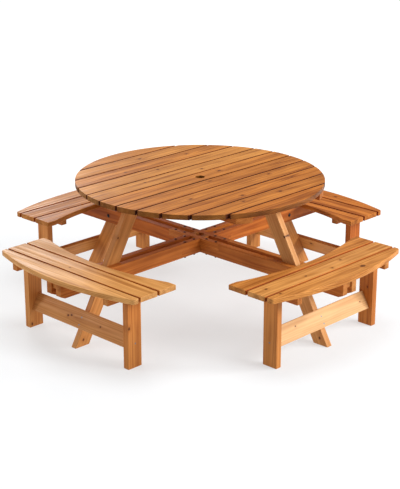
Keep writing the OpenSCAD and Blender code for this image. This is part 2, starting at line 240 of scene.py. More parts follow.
def timber(piece, ease, segments, shortest=0.0, knots=(), depth=1.0, gap_sides=()):
    """Eases a piece's edges and writes what its material reads: grain, eased edges, stain depth, painted gap
    shade and knots.

    The grain runs along each board's longest edge, and the board's heart lies off one of its faces.
    A knot is (along, across, radius), in metres from the middle of the board. A depth over 1 is a
    darker board, and one under 1 a paler board; on some boards a paler depth is painted sheen. The straight
    upright sides that face a neighbour across a gap, which are -1 and 1 across the board, are marked for
    painted shade.
    """
    bm = bmesh.new()
    bm.from_mesh(piece.data)
    bmesh.ops.remove_doubles(bm, verts=bm.verts, dist=weld)
    bmesh.ops.dissolve_limit(bm, angle_limit=flat_within, verts=bm.verts, edges=bm.edges)
    boards = [(Vector(part_middle(part)), board_frame(part, piece.name, number))
              for number, part in enumerate(loose_parts(bm))]
    sharp = [edge for edge in bm.edges if len(edge.link_faces) == 2
             and edge.calc_face_angle_signed(0.0) > sharp_over and edge.calc_length() > shortest]
    rounded = bmesh.ops.bevel(bm, geom=sharp, offset=ease, offset_type="OFFSET", segments=segments,
                              profile=0.5, affect="EDGES", clamp_overlap=True, loop_slide=True, material=-1)
    new_faces = set(rounded["faces"])
    grain = bm.verts.layers.float_vector.new("grain")
    lie = bm.verts.layers.float_vector.new("lie")
    stain_depth = bm.verts.layers.float.new("stain_depth")
    eased = bm.verts.layers.float.new("eased")
    pooled = bm.verts.layers.float.new("pooled")
    bm.normal_update()
    knot_layers = [bm.verts.layers.float_vector.new(f"knot_{k}") for k in knot_numbers]
    for part in loose_parts(bm):
        centre = Vector(part_middle(part))
        axes, middle, heart, luck = min(boards, key=lambda board: (board[0] - centre).length)[1]
        half_wide = max(vert.co.dot(axes[1]) for vert in part) - middle[1]
        for vert in part:
            local = Vector([vert.co.dot(a) - m for a, m in zip(axes, middle)])
            upright = all(abs(face.normal.dot(axes[2])) < 0.99 for face in vert.link_faces)
            # Upright sides beside a gap are marked, and the material darkens them as painted shade.
            beside_gap = any(side * local.y > half_wide - ease * 1.01 for side in gap_sides)
            vert[pooled] = float(upright and beside_gap)
            vert[grain] = local + heart
            vert[lie] = axes[0]
            # The depth sets how dark the whole board is; on some boards a pale depth is painted sheen.
            vert[stain_depth] = depth * (1 + depth_spread * luck)
            vert[eased] = float(all(face in new_faces for face in vert.link_faces))
            for k, layer in enumerate(knot_layers):
                along, across, radius = knots[k] if k < len(knots) else no_knot
                vert[layer] = ((local.x - along) / radius, (local.y - across) / radius, radius)
    for face in bm.faces:
        face.smooth = True
        face.material_index = 0
    bm.to_mesh(piece.data)
    bm.free()
    weighted = piece.modifiers.new("shading", "WEIGHTED_NORMAL")
    weighted.weight = 100
    bpy.context.view_layer.update()
    ready = piece.evaluated_get(bpy.context.evaluated_depsgraph_get())
    mesh = bpy.data.meshes.new_from_object(ready)
    piece.modifiers.remove(weighted)
    piece.data = mesh
    return piece


def hand_in(piece, slot, *replaced):
    """The piece rides on the table and stands for its CAD nodes; the slot is not used."""
    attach(piece, "root")
    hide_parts(*replaced)


# The stained softwood of every board, as shader groups: one for a knot, one for the whole figure.


def shader_group(name, inputs, outputs):
    """A shader node group with named float, colour or vector sockets."""
    tree = bpy.data.node_groups.new(name, "ShaderNodeTree")
    for label, kind in inputs:
        tree.interface.new_socket(label, in_out="INPUT", socket_type="NodeSocket" + kind)
    for label, kind in outputs:
        tree.interface.new_socket(label, in_out="OUTPUT", socket_type="NodeSocket" + kind)
    return tree, tree.nodes.new("NodeGroupInput").outputs, tree.nodes.new("NodeGroupOutput").inputs


def read(tree, name):
    """The node that reads one of the piece's own attributes."""
    return add(tree, "ShaderNodeAttribute", attribute_name=name)


def between(tree, value, low, high, to_low=0.0, to_high=1.0):
    """A smooth step of a socket's value from one range to another."""
    node = add(tree, "ShaderNodeMapRange", {0: value}, interpolation_type="SMOOTHSTEP",
               From_Min=low, From_Max=high, To_Min=to_low, To_Max=to_high)
    return node.outputs[0]


def noise(tree, vector, stretch, detail=2.0, rough=0.5):
    """Noise along a vector that is stretched by (along, across, through) first."""
    scaled = add(tree, "ShaderNodeVectorMath", {0: vector}, operation="MULTIPLY", i1=stretch)
    return add(tree, "ShaderNodeTexNoise", {"Vector": scaled.outputs[0]}, Scale=1.0, Detail=detail,
               Roughness=rough).outputs[0]


def mix(tree, share, first, second, blend="MIX"):
    """A colour mix; each of its three operands is a socket, or a number or colour."""
    node = add(tree, "ShaderNodeMix", data_type="RGBA", blend_type=blend)
    for k, value in ((0, share), (6, first), (7, second)):
        feed(tree, node.inputs[k], value)
    return node.outputs[2]


# A knot: an oval core with a ragged edge, a halo that darkens the wood, and a swirl that bends the rings.
knot_tree, given, result = shader_group("Knot", [("Place", "Vector"), ("Grain", "Vector")],
                                        [("Core", "Float"), ("Halo", "Float"), ("Swirl", "Float")])
oval = 0.72
spot = add(knot_tree, "ShaderNodeSeparateXYZ", {0: given["Place"]})
shortened = math_node(knot_tree, "MULTIPLY", spot.outputs[0], oval)
plane = add(knot_tree, "ShaderNodeCombineXYZ", {0: shortened, 1: spot.outputs[1]})
away = add(knot_tree, "ShaderNodeVectorMath", {0: plane.outputs[0]}, operation="LENGTH").outputs["Value"]
rough = noise(knot_tree, given["Grain"], (90.0, 90.0, 90.0))
ragged = math_node(knot_tree, "MULTIPLY_ADD", rough, 0.9, -0.45)
away = math_node(knot_tree, "ADD", away, ragged)
knot_tree.links.new(between(knot_tree, away, 0.7, 1.15, 1.0, 0.0), result["Core"])
knot_tree.links.new(between(knot_tree, away, 1.0, 3.2, 1.0, 0.0), result["Halo"])
fall = math_node(knot_tree, "MULTIPLY_ADD", away, away, 1.0)
knot_tree.links.new(math_node(knot_tree, "DIVIDE", spot.outputs[2], fall), result["Swirl"])

wood_tree, given, result = shader_group(
    "Stained softwood",
    [("Pale", "Color"), ("Dark", "Color"), ("Knot colour", "Color"), ("Sawn colour", "Color"),
     ("Ring width", "Float"), ("Figure", "Float"), ("Sawn", "Float"), ("Edge wear", "Float"),
     ("Sawn all round", "Float"), ("Gap stain", "Float")],
    [("Color", "Color"), ("Roughness", "Float"), ("Height", "Float")])
grain = read(wood_tree, "grain").outputs["Vector"]
spot = add(wood_tree, "ShaderNodeSeparateXYZ", {0: grain})
core = halo = swirl = 0.0
for k in knot_numbers:
    knot = add(wood_tree, "ShaderNodeGroup", node_tree=knot_tree)
    wood_tree.links.new(read(wood_tree, f"knot_{k}").outputs["Vector"], knot.inputs["Place"])
    wood_tree.links.new(grain, knot.inputs["Grain"])
    core = math_node(wood_tree, "MAXIMUM", core, knot.outputs["Core"])
    halo = math_node(wood_tree, "MAXIMUM", halo, knot.outputs["Halo"])
    swirl = math_node(wood_tree, "ADD", swirl, knot.outputs["Swirl"])

# Growth rings round the heart, which wander slowly along the board and bend round the knots.
cross = add(wood_tree, "ShaderNodeCombineXYZ", {0: spot.outputs[1], 1: spot.outputs[2]})
ring_r = add(wood_tree, "ShaderNodeVectorMath", {0: cross.outputs[0]}, operation="LENGTH").outputs["Value"]
wander = noise(wood_tree, grain, (1.3, 7.0, 7.0))
ring_r = math_node(wood_tree, "MULTIPLY_ADD", wander, 0.03, ring_r)
ring_r = math_node(wood_tree, "MULTIPLY_ADD", swirl, 0.9, ring_r)
turns = math_node(wood_tree, "DIVIDE", ring_r, given["Ring width"])
wave = math_node(wood_tree, "SINE", math_node(wood_tree, "MULTIPLY", turns, math.tau))
rings = math_node(wood_tree, "POWER", math_node(wood_tree, "MULTIPLY_ADD", wave, 0.5, 0.5), 1.8)

# Marks drawn out along the grain, from wide bands down to single fibres, and blotches in the stain.
streaks = between(wood_tree, noise(wood_tree, grain, (1.6, 62.0, 62.0), 3.0, 0.6), 0.3, 0.7)
bands = between(wood_tree, noise(wood_tree, grain, (0.9, 24.0, 24.0), 1.0), 0.32, 0.68)
fibres = noise(wood_tree, grain, (14.0, 900.0, 900.0), 2.0)
blotches = between(wood_tree, noise(wood_tree, grain, (5.0, 13.0, 13.0), 2.0), 0.3, 0.7)

# How dark each spot is: the marks, weighed, swing about a middle tone as strongly as Figure says.
mark_weights = ((rings, 0.5), (streaks, 0.5), (bands, 0.45), (blotches, 0.35), (fibres, 0.2))
usual_marks = 0.93
middle_tone = 0.42
marks = 0.0
for mark, weight in mark_weights:
    marks = math_node(wood_tree, "MULTIPLY_ADD", mark, weight, marks)
swing = math_node(wood_tree, "SUBTRACT", marks, usual_marks)
dark_share = math_node(wood_tree, "MULTIPLY_ADD", swing, given["Figure"], middle_tone)
dark_share = add(wood_tree, "ShaderNodeClamp", {0: dark_share}).outputs[0]
colour = mix(wood_tree, dark_share, given["Pale"], given["Dark"])
colour = mix(wood_tree, math_node(wood_tree, "MULTIPLY", halo, 0.45), colour, given["Dark"])

# End grain shows the sawn colour. Where the all-round setting is on, every upright side shows it too: on the
# sawn rim it is the wood's own colour, on the straight sides in the gaps it is painted shade.
facing = add(wood_tree, "ShaderNodeVectorMath", operation="DOT_PRODUCT")
normal = add(wood_tree, "ShaderNodeNewGeometry").outputs["Normal"]
wood_tree.links.new(normal, facing.inputs[0])
wood_tree.links.new(read(wood_tree, "lie").outputs["Vector"], facing.inputs[1])
end = between(wood_tree, math_node(wood_tree, "ABSOLUTE", facing.outputs["Value"]), 0.45, 0.8)
upward = add(wood_tree, "ShaderNodeSeparateXYZ", {0: normal}).outputs[2]
sideways = between(wood_tree, math_node(wood_tree, "ABSOLUTE", upward), 0.4, 0.8, 1.0, 0.0)
sideways = math_node(wood_tree, "MULTIPLY", sideways, given["Sawn all round"])
sawn_and_side_shade_share = math_node(wood_tree, "MULTIPLY", math_node(wood_tree, "MAXIMUM", end, sideways), given["Sawn"])
sawn_dark = mix(wood_tree, 1.0, given["Sawn colour"], (0.45, 0.4, 0.35, 1), "MULTIPLY")
sawn_colour = mix(wood_tree, dark_share, given["Sawn colour"], sawn_dark)
colour = mix(wood_tree, sawn_and_side_shade_share, colour, sawn_colour)

# Eased edges are lightened in streaks, a painted highlight where light would catch the rounding. Then comes
# the stain, as an exponent, deeper on the sides in the gaps as painted shade, and last the cores of the
# knots, which take no stain.
edge = read(wood_tree, "eased").outputs["Fac"]
edge_highlight_share = math_node(wood_tree, "MULTIPLY", math_node(wood_tree, "MULTIPLY", edge, streaks), given["Edge wear"])
colour = mix(wood_tree, edge_highlight_share, colour, given["Pale"])
# The marked sides beside a gap get a deeper exponent: painted shade.
gap_shade_here = read(wood_tree, "pooled").outputs["Fac"]
stain_shade_and_sheen_power = math_node(wood_tree, "MULTIPLY_ADD", gap_shade_here, given["Gap stain"], 1.0)
stain_shade_and_sheen_power = math_node(wood_tree, "MULTIPLY", stain_shade_and_sheen_power, read(wood_tree, "stain_depth").outputs["Fac"])
stain_shade_and_sheen_colour = add(wood_tree, "ShaderNodeGamma", {"Color": colour, "Gamma": stain_shade_and_sheen_power}).outputs[0]
core_share = math_node(wood_tree, "MULTIPLY", core, 0.9)
wood_tree.links.new(mix(wood_tree, core_share, stain_shade_and_sheen_colour, given["Knot colour"]), result["Color"])

# Streaks and end grain are duller. The late wood stands a little proud, and the knots are sunk.
dull = math_node(wood_tree, "MULTIPLY_ADD", streaks, 0.22, 0.36)
dull = math_node(wood_tree, "MULTIPLY_ADD", end, 0.2, dull)
wood_tree.links.new(dull, result["Roughness"])
height = math_node(wood_tree, "MULTIPLY_ADD", fibres, 0.5, math_node(wood_tree, "MULTIPLY", rings, 0.35))
height = math_node(wood_tree, "MULTIPLY_ADD", streaks, 0.4, height)
wood_tree.links.new(math_node(wood_tree, "MULTIPLY_ADD", core, -0.5, height), result["Height"])


knot_brown = (0.085, 0.022, 0.006)
oil_gloss = 0.12            # the specular level of oiled wood


# The edge setting paints a pale highlight along eased edges, the gap setting paints shade on the sides in the
# gaps, and the all-round setting gives every upright side the sawn colour, painted shade where a side faces a
# gap.
def stained(name, pale, dark, sawn_colour, ring=0.0075, figure=1.0, sawn=0.6, wear=0.5, all_round=0.0,
            pool=0.0):
    """A stained and oiled softwood: the wood group on a satin surface."""
    material = bpy.data.materials.new(name)
    material.use_nodes = True
    tree = material.node_tree
    surface = tree.nodes["Principled BSDF"]
    wood = add(tree, "ShaderNodeGroup", node_tree=wood_tree)
    settings = {"Pale": (*pale, 1), "Dark": (*dark, 1), "Knot colour": (*knot_brown, 1),
                "Sawn colour": (*sawn_colour, 1), "Ring width": ring, "Figure": figure, "Sawn": sawn,
                "Edge wear": wear, "Sawn all round": all_round, "Gap stain": pool}
    for label, value in settings.items():
        wood.inputs[label].default_value = value
    tree.links.new(wood.outputs["Color"], surface.inputs["Base Color"])
    tree.links.new(wood.outputs["Roughness"], surface.inputs["Roughness"])
    bump = add(tree, "ShaderNodeBump", {"Height": wood.outputs["Height"]}, Strength=0.35, Distance=0.0006)
    tree.links.new(bump.outputs[0], surface.inputs["Normal"])
    surface.inputs["Specular IOR Level"].default_value = oil_gloss
    return material


# On the top, the sides in the gaps get painted shade, and the eased edges get no painted highlight.
top_wood = stained("golden_top_stain", (0.54, 0.205, 0.037), (0.22, 0.062, 0.008), (0.25, 0.095, 0.018),
                   figure=0.85, sawn=0.9, wear=0.0, all_round=1.0, pool=0.8)
top_depths = (1.12, 1.04, 1.09, 1.04, 1.0, 1.02, 0.92, 0.93, 0.98, 0.9, 0.96)
# Knots by the slat's number, from 0: how far along, how far across, and radius.
top_knots = {1: [(0.10, 0.01, 0.009), (-0.16, 0.03, 0.007)],
             2: [(-0.09, -0.02, 0.008), (0.34, 0.015, 0.008)],
             3: [(0.30, 0.02, 0.007), (-0.32, 0.0, 0.008)],
             4: [(-0.02, 0.03, 0.007)],
             5: [(0.16, 0.01, 0.008)],
             6: [(-0.28, 0.01, 0.007), (0.12, -0.02, 0.007)],
             7: [(-0.06, 0.02, 0.008)],
             8: [(-0.22, -0.02, 0.007), (0.28, 0.01, 0.007)],
             9: [(0.02, 0.0, 0.009)]}
for number, name in enumerate(slat_names):
    low, high = slat_boxes[name]
    slat = grown(name + "_board", slat_tree, top_wood, radius=top_r, thickness=top_face - top_under,
                 first_edge=max(low.y, -top_r), last_edge=min(high.y, top_r), underside=top_under,
                 hole_radius=parasol_r if name == bored_slat else 0)
    straight = [side for side in (-1, 1) if abs(slat_boxes[name][(side + 1) // 2].y) < top_r - 0.001]
    timber(slat, top_ease, 3, knots=top_knots.get(number, ()), depth=top_depths[number], gap_sides=straight)
    hand_in(slat, "top_boards", name)

# ---------------------------------------------------------------- under the top
# Two battens and two crossing pairs of rails, planed boards of darker stain, screwed up into the slats.
# The rails are halved over each other and grip the tops of the legs.

frame_ease = 0.0022
hole_edge = 0.0085          # edges shorter than this are the facets of a bolt or screw hole
frame_wood = stained("red_brown_frame_stain", (0.57, 0.205, 0.043), (0.29, 0.075, 0.012), (0.46, 0.2, 0.06),
                     figure=0.65)


def sawn(name, material):
    """A copy of a CAD board, to be eased and to stand for it."""
    piece = bpy.data.objects.new(name + "_board", nodes[name].data.copy())
    piece.data.materials.clear()
    piece.data.materials.append(material)
    bpy.context.scene.collection.objects.link(piece)
    return piece


def frame_board(name, depth=1.0, knots=()):
    """A frame board: the CAD board with its edges eased."""
    piece = timber(sawn(name, frame_wood), frame_ease, 2, hole_edge, knots, depth)
    hand_in(piece, "frame_boards", name)


for name in ("batten_west", "batten_east"):
    frame_board(name, 1.15)
sides = ("east", "north", "west", "south")
for side in sides:
    frame_board(f"top_rail_{side}")

# ---------------------------------------------------------------- cross of arms
# Doubled boards of red-brown softwood reach out to the benches. They are lapped and bolted on two pairs
# of short boards that cross at the centre, and small blocks close the channels beside the parasol hole.

for name in ("upper_splice_boards", "lower_splice_boards", "centre_blocks"):
    frame_board(name, 1.15)
arm_depths = {"east": 1.15, "north": 1.25, "west": 1.15, "south": 1.05}
for side in sides:
    frame_board(f"arm_{side}", arm_depths[side])

# ---------------------------------------------------------------- legs
# One raking board of paler stain on each side, cut level at foot and top, which the arm pair and the
# rail pair grip with a coach bolt each.

# Stain depths of the legs; the south leg's pale one is partly painted sheen.
leg_depths = {"east": 0.85, "north": 0.9, "west": 0.76, "south": 0.72}
leg_knots = {"west": [(-0.36, -0.011, 0.006), (0.185, -0.033, 0.005)],
             "south": [(-0.358, 0.012, 0.006), (0.187, 0.035, 0.006)], "east": [(0.05, 0.02, 0.005)]}
for side in sides:
    frame_board(f"leg_{side}", leg_depths[side], leg_knots.get(side, ()))

# ---------------------------------------------------------------- benches
# Each bench has three golden softwood slats, the inner one hollowed and the outer one bowed, screwed to
# bearers from below. Two posts carry them, and a low raking stretcher joins the posts and the leg.

# The seat slats' sides in the gaps get painted shade.
seat_wood = stained("golden_seat_stain", (0.60, 0.255, 0.062), (0.30, 0.098, 0.016), (0.5, 0.22, 0.065),
                    pool=0.7)
# Stain depths of each bench's inner, middle and outer slat, the west bench's pale ones being painted sheen,
# and which of their sides face a gap and get painted shade.
seat_depths = {"east": (1.3, 1.25, 1.3), "north": (1.2, 1.1, 1.03), "west": (0.85, 0.84, 0.82),
               "south": (1.07, 0.97, 1.0)}
seat_gap_sides = {"east": ((-1,), (-1, 1), (1,)), "north": ((1,), (-1, 1), (-1,)),
                  "west": ((1,), (-1, 1), (-1,)), "south": ((-1,), (-1, 1), (1,))}
# Knots, as for the slats of the top.
seat_knots = {"seat_south_middle": [(-0.152, -0.012, 0.007), (-0.423, 0.009, 0.007), (0.15, 0.012, 0.006),
                                    (0.03, -0.033, 0.006)],
              "seat_south_outer": [(0.159, 0.0, 0.013), (-0.42, 0.045, 0.006)],
              "seat_south_inner": [(-0.27, 0.03, 0.004)], "seat_west_middle": [(0.05, 0.02, 0.004)],
              "seat_north_middle": [(0.2, -0.02, 0.006)], "seat_east_outer": [(-0.15, 0.0, 0.007)],
              "seat_east_inner": [(0.2, -0.03, 0.006)], "seat_north_outer": [(-0.3, 0.02, 0.005)]}
# Stain depths of each bench's left and right post.
post_depths = {"east": (0.85, 1.2), "north": (0.85, 0.92), "west": (0.88, 0.8), "south": (1.02, 0.9)}
post_knots = {"post_west_left": [(0.023, -0.036, 0.007), (0.16, -0.04, 0.005)],
              "post_west_right": [(-0.175, -0.03, 0.006)], "post_south_left": [(0.02, 0.01, 0.005)],
              "post_east_left": [(0.05, 0.02, 0.006)], "post_north_right": [(-0.05, 0.02, 0.006)]}
# Stain depths of the stretchers; the south stretcher's very pale one is painted sheen.
stretcher_depths = {"east": 0.82, "north": 0.8, "west": 0.74, "south": 0.5}
stretcher_knots = {"west": [(0.096, 0.006, 0.0055), (0.073, -0.002, 0.0055), (-0.147, 0.0, 0.0045)],
                   "south": [(0.314, 0.0, 0.004), (-0.2, 0.015, 0.004)], "east": [(-0.1, 0.02, 0.006)]}
seat_out_r = 1.6            # radius of the outer slat's bow
seat_in_r = 1.51            # radius of the inner slat's hollow
seat_hollow = 0.069         # how deep the hollow is
seat_corner = 0.004
outer_corner = 0.012        # the outer slat's rounder tips
nearly_straight = 1000      # radius of an edge that isn't bowed
seat_rows = 97
seat_ease = 0.0035

seat_tree, given, result = new_tree("Seat slat", (
    "Half length", "Near edge", "Far edge", "Thickness", "Underside", "Hollow", "Hollow radius", "Bow radius",
    "Near corner", "Far corner", "Turn"))


def arc_depth(radius, along):
    """How far a circle of this radius falls back from its crown."""
    squares = math_node(seat_tree, "SUBTRACT", math_node(seat_tree, "MULTIPLY", radius, radius),
                        math_node(seat_tree, "MULTIPLY", along, along))
    return math_node(seat_tree, "SUBTRACT", radius, math_node(seat_tree, "SQRT", squares))


def corner_depth(radius, along):
    """How far a rounded corner stands back, near the slat's ends."""
    start = math_node(seat_tree, "SUBTRACT", given["Half length"], radius)
    past = math_node(seat_tree, "SUBTRACT", math_node(seat_tree, "ABSOLUTE", along), start)
    past = math_node(seat_tree, "MAXIMUM", past, 0.0)
    return arc_depth(radius, math_node(seat_tree, "MINIMUM", past, radius))


def seat_outline(row, side):
    """Rows crowd towards the ends, where the corners are; side picks the near or the far edge."""
    turn = math_node(seat_tree, "SINE", math_node(seat_tree, "MULTIPLY", row, math.pi))
    along = math_node(seat_tree, "MULTIPLY", turn, given["Half length"])
    hollow = math_node(seat_tree, "SUBTRACT", given["Hollow"], arc_depth(given["Hollow radius"], along))
    near = math_node(seat_tree, "ADD", given["Near edge"], math_node(seat_tree, "MAXIMUM", hollow, 0.0))
    near = math_node(seat_tree, "ADD", near, corner_depth(given["Near corner"], along))
    far = math_node(seat_tree, "SUBTRACT", given["Far edge"], arc_depth(given["Bow radius"], along))
    far = math_node(seat_tree, "SUBTRACT", far, corner_depth(given["Far corner"], along))
    share = math_node(seat_tree, "MULTIPLY_ADD", side, 0.5, 0.5)
    wide = math_node(seat_tree, "SUBTRACT", far, near)
    return math_node(seat_tree, "MULTIPLY_ADD", wide, share, near), along


seat_solid = strip_solid(seat_tree, seat_rows, given["Thickness"], given["Underside"], seat_outline)
heading = add(seat_tree, "ShaderNodeCombineXYZ", {2: given["Turn"]})
turned = add(seat_tree, "GeometryNodeTransform", {0: seat_solid, "Rotation": heading.outputs[0]})
real = add(seat_tree, "GeometryNodeRealizeInstances", {0: turned.outputs[0]})
dressed = add(seat_tree, "GeometryNodeSetMaterial", {0: real.outputs[0], 2: given["Material"]})
seat_tree.links.new(dressed.outputs[0], result[0])

for quarter, side in enumerate(sides):
    for rank, row in enumerate(("inner", "middle", "outer")):
        name = f"seat_{side}_{row}"
        low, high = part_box(name)
        back = Matrix.Rotation(-quarter * math.pi / 2, 3, "Z")
        corners = [back @ low, back @ high]
        near, far = sorted(abs(c.x) for c in corners)
        half = max(abs(c.y) for c in corners)
        slat = grown(name + "_board", seat_tree, seat_wood, half_length=half, near_edge=near, far_edge=far,
                     thickness=high.z - low.z, underside=low.z, hollow=seat_hollow if row == "inner" else -1,
                     hollow_radius=seat_in_r, bow_radius=seat_out_r if row == "outer" else nearly_straight,
                     near_corner=seat_corner, far_corner=outer_corner if row == "outer" else seat_corner,
                     turn=quarter * math.pi / 2)
        timber(slat, seat_ease, 3, knots=seat_knots.get(name, ()), depth=seat_depths[side][rank],
               gap_sides=seat_gap_sides[side][rank])
        hand_in(slat, "seat_boards", name)
    for name, depth in zip((f"post_{side}_left", f"post_{side}_right"), post_depths[side]):
        frame_board(name, depth, post_knots.get(name, ()))
    frame_board(f"seat_bearers_{side}", 1.05)
    frame_board(f"stretcher_{side}", stretcher_depths[side], stretcher_knots.get(side, ()))

# ---------------------------------------------------------------- fasteners
# Black-coated steel coach bolts with domed heads go through the boards to washers and nuts.
# Countersunk steel wood screws are driven from below and behind, so that no seat or slat shows one.
# Each set is one shape, repeated on the places that the CAD bolts or screws have.


def metal(name, base, rough):
    """A dull coated metal, rubbed and spotted here and there."""
    material = bpy.data.materials.new(name)
    material.use_nodes = True
    tree = material.node_tree
    surface = tree.nodes["Principled BSDF"]
    place = add(tree, "ShaderNodeTexCoord").outputs["Object"]
    spots = noise(tree, place, (900.0, 900.0, 900.0), 3.0)
    rubbed = between(tree, spots, 0.55, 0.75)
    tint = mix(tree, rubbed, (base, base, base, 1), (3 * base, 2.4 * base, 2 * base, 1))
    tree.links.new(tint, surface.inputs["Base Color"])
    tree.links.new(between(tree, spots, 0.3, 0.7, rough, rough + 0.2), surface.inputs["Roughness"])
    surface.inputs["Metallic"].default_value = 0.6
    return material


def turned_parts(name):
    """The place, direction and measures of each bolt or screw of a CAD node."""
    bm = bmesh.new()
    bm.from_mesh(nodes[name].data)
    bmesh.ops.remove_doubles(bm, verts=bm.verts, dist=weld)
    bm.normal_update()
    found = []
    for part in loose_parts(bm):
        one_end = max(part, key=lambda vert: (vert.co - part[0].co).length)
        other_end = max(part, key=lambda vert: (vert.co - one_end.co).length)
        rough = (other_end.co - one_end.co).normalized()
        # The true axis is square to two facets of the shank.
        shank = [face for vert in part for face in vert.link_faces if abs(face.normal.dot(rough)) < 0.2]
        widest = max(shank, key=lambda face: face.calc_area())
        other = min(shank, key=lambda face: abs(face.normal.dot(widest.normal)))
        axis = widest.normal.cross(other.normal).normalized()
        reach = [vert.co.dot(axis) for vert in part]
        end_ring = [vert for vert, r in zip(part, reach) if r < min(reach) + 0.0003]
        found.append(turned_part([vert.co.copy() for vert in part], Vector(part_middle(end_ring)), axis))
    bm.free()
    return found


def turned_part(spots, foot, direction):
    """The measures of one bolt or screw; its direction is turned to run from head to tail."""
    reach = [(spot - foot).dot(direction) for spot in spots]
    wide = [(spot - foot - direction * r).length for spot, r in zip(spots, reach)]
    head_r = max(wide)
    head_reach = [r for r, w in zip(reach, wide) if w > 0.98 * head_r]
    if min(head_reach) > (min(reach) + max(reach)) / 2:
        direction, reach, head_reach = -direction, [-r for r in reach], [-r for r in head_reach]
    seat, tail = max(head_reach), max(reach)
    shank_r = max(w for r, w in zip(reach, wide) if tail - r < 0.0001)
    return {"seat": foot + direction * seat, "direction": direction, "length": tail - seat,
            "head_r": head_r, "head_h": seat - min(reach), "shank_r": shank_r}


def seats_mesh(name, places):
    """Loose points that carry the direction and length of the fasteners to be set on them."""
    mesh = bpy.data.meshes.new(name)
    mesh.from_pydata([place["seat"] for place in places], [], [])
    mesh.attributes.new("facing", "FLOAT_VECTOR", "POINT")
    mesh.attributes.new("length", "FLOAT", "POINT")
    for k, place in enumerate(places):
        mesh.attributes["facing"].data[k].vector = place["direction"]
        mesh.attributes["length"].data[k].value = place["length"]
    return mesh


def fastener_tree(name, sizes, head, shank):
    """Sets a head, and a shank stretched to its length, on each point and turns both to its direction."""
    tree, given, result = new_tree(name, sizes, True)
    facing = add(tree, "GeometryNodeInputNamedAttribute", data_type="FLOAT_VECTOR", Name="facing").outputs[0]
    length = add(tree, "GeometryNodeInputNamedAttribute", data_type="FLOAT", Name="length").outputs[0]
    turn = add(tree, "FunctionNodeAlignRotationToVector", {"Vector": facing}, axis="Z").outputs[0]
    joined = tree.nodes.new("GeometryNodeJoinGeometry")
    heads = {"Points": given["Seats"], "Instance": head(tree, given), "Rotation": turn}
    tree.links.new(add(tree, "GeometryNodeInstanceOnPoints", heads).outputs[0], joined.inputs[0])
    if shank:
        start = given["Shank start"]
        inset = add(tree, "ShaderNodeVectorMath", {0: facing, "Scale": start}, operation="SCALE")
        inside = add(tree, "GeometryNodeSetPosition", {0: given["Seats"], "Offset": inset.outputs[0]})
        left = math_node(tree, "SUBTRACT", length, start)
        stretch = add(tree, "ShaderNodeCombineXYZ", {2: left}, X=1.0, Y=1.0).outputs[0]
        shanks = {"Points": inside.outputs[0], "Instance": shank(tree, given), "Rotation": turn,
                  "Scale": stretch}
        tree.links.new(add(tree, "GeometryNodeInstanceOnPoints", shanks).outputs[0], joined.inputs[0])
    real = add(tree, "GeometryNodeRealizeInstances", {0: joined.outputs[0]})
    dressed = add(tree, "GeometryNodeSetMaterial", {0: real.outputs[0], 2: given["Material"]})
    tree.links.new(dressed.outputs[0], result[0])
    return tree


def raised(tree, mesh, height):
    """A mesh moved along Z by a socket's value or a number."""
    up = add(tree, "ShaderNodeCombineXYZ")
    feed(tree, up.inputs[2], height)
    return add(tree, "GeometryNodeTransform", {0: mesh, "Translation": up.outputs[0]}).outputs[0]


sliver = 0.000003           # a boolean's points nearer than this are merged


def both_of(tree, operation, first, second):
    """The boolean of two solids, without slivers: INTERSECT, UNION or DIFFERENCE."""
    node = add(tree, "GeometryNodeMeshBoolean", operation=operation, solver="MANIFOLD")
    tree.links.new(first, node.inputs[0 if operation == "DIFFERENCE" else 1])
    tree.links.new(second, node.inputs[1])
    return add(tree, "GeometryNodeMergeByDistance", {0: node.outputs[0]}, Distance=sliver).outputs[0]


def disc(tree, radius, depth, around):
    """A solid cylinder that stands on z = 0; its depth is a socket or a number."""
    body = add(tree, "GeometryNodeMeshCylinder", {"Radius": radius}, Vertices=around)
    feed(tree, body.inputs["Depth"], depth)
    return raised(tree, body.outputs[0], math_node(tree, "MULTIPLY", depth, 0.5))


def domed_head(tree, given):
    """A cap cut from a ball, flat against the timber at z = 0."""
    ball_r = math_node(tree, "MULTIPLY", given["Head radius"], 1.44)
    ball = add(tree, "GeometryNodeMeshUVSphere", {"Radius": ball_r}, Segments=48, Rings=48).outputs[0]
    ball = raised(tree, ball, math_node(tree, "SUBTRACT", ball_r, given["Head height"]))
    down = math_node(tree, "MULTIPLY", given["Head height"], -1.0)
    rim = raised(tree, disc(tree, given["Head radius"], given["Head height"], 40), down)
    return both_of(tree, "INTERSECT", rim, ball)


def plain_shank(tree, given):
    """A rod of unit length from z = 0."""
    return disc(tree, given["Shank radius"], 1.0, 24)


bolt_sizes = ("Head radius", "Head height", "Shank radius", "Shank start")
bolt_tree = fastener_tree("Coach bolts", bolt_sizes, domed_head, plain_shank)
black_steel = metal("black_coated_steel", 0.012, 0.42)
bolt_places = {name: turned_parts(name) for name in ("cross_bolts", "leg_bolts")}
for name, places in bolt_places.items():
    bolt = places[0]
    bolts = grown(name + "_turned", bolt_tree, black_steel, seats_mesh(name + "_seats", places),
                  head_radius=bolt["head_r"], head_height=bolt["head_h"], shank_radius=bolt["shank_r"],
                  shank_start=0)
    hand_in(bolts, "black_steel", name)


